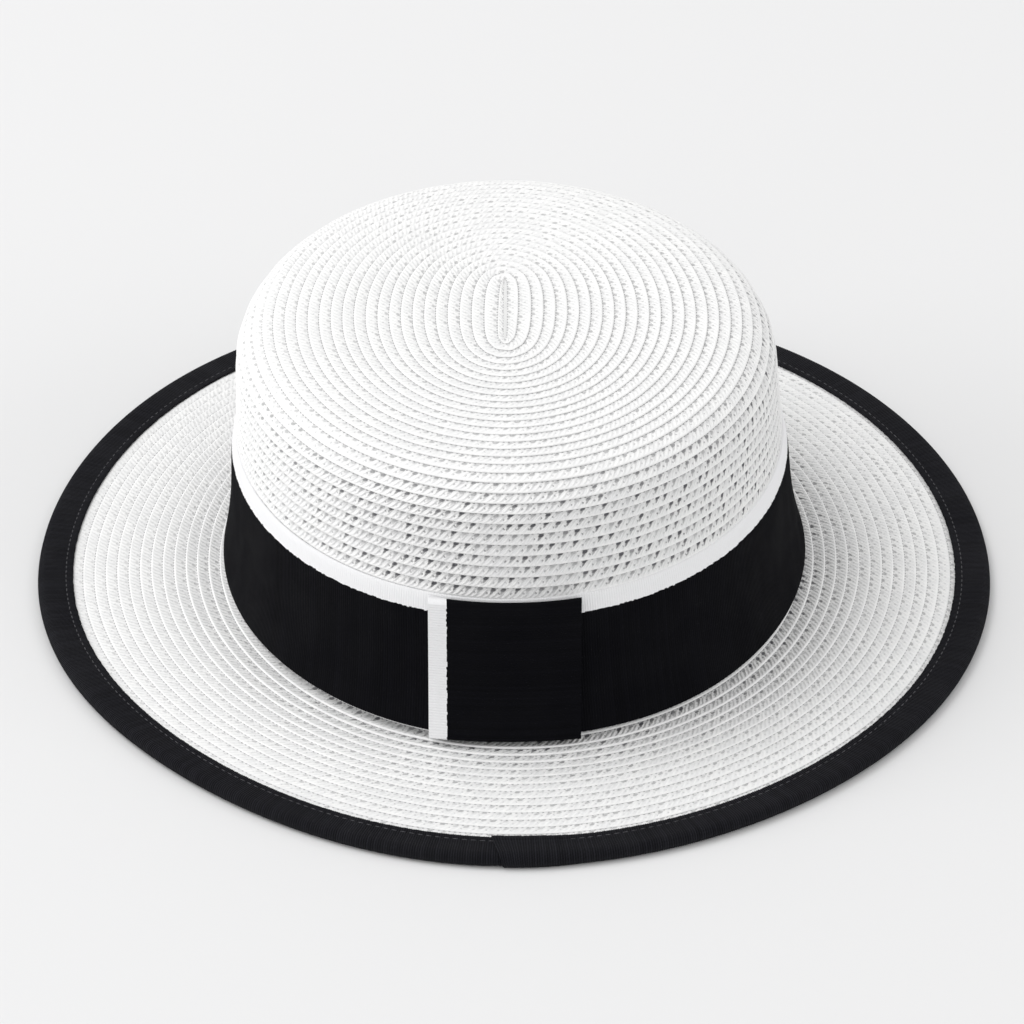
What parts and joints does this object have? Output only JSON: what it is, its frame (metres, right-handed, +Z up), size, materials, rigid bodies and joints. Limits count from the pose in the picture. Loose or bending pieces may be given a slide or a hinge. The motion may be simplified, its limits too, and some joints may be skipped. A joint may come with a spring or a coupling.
{
  "type": "straw boater hat",
  "caption": "Oval sewn-braid straw hat with a stiff level brim, a bound edge, a low domed crown, a ribbon band and a flat bow at the front.",
  "frame": {"origin": "on the surface that the hat stands on, under the middle of its outline", "axes": "+Z up through the crown, -Y towards the front, where the bow is, +X to the right as seen from the front; the hat is longest along Y"},
  "size_m": [0.2838, 0.3088, 0.0893],
  "materials": {
    "straw_braid": "white paper straw, plaited into a narrow braid and sewn in overlapping rows, matt with a faint sheen",
    "binding_tape": "black grosgrain tape, matt, fine ribs across its width, stitched close to its inner edge",
    "striped_ribbon": "black grosgrain ribbon with a white woven stripe along one edge, matt, fine ribs across its width"
  },
  "bodies": {
    "root": {"straw_body": "straw_braid", "brim_binding": "binding_tape", "ribbon_band": "striped_ribbon", "flat_bow": "striped_ribbon"}
  },
  "joints": []
}
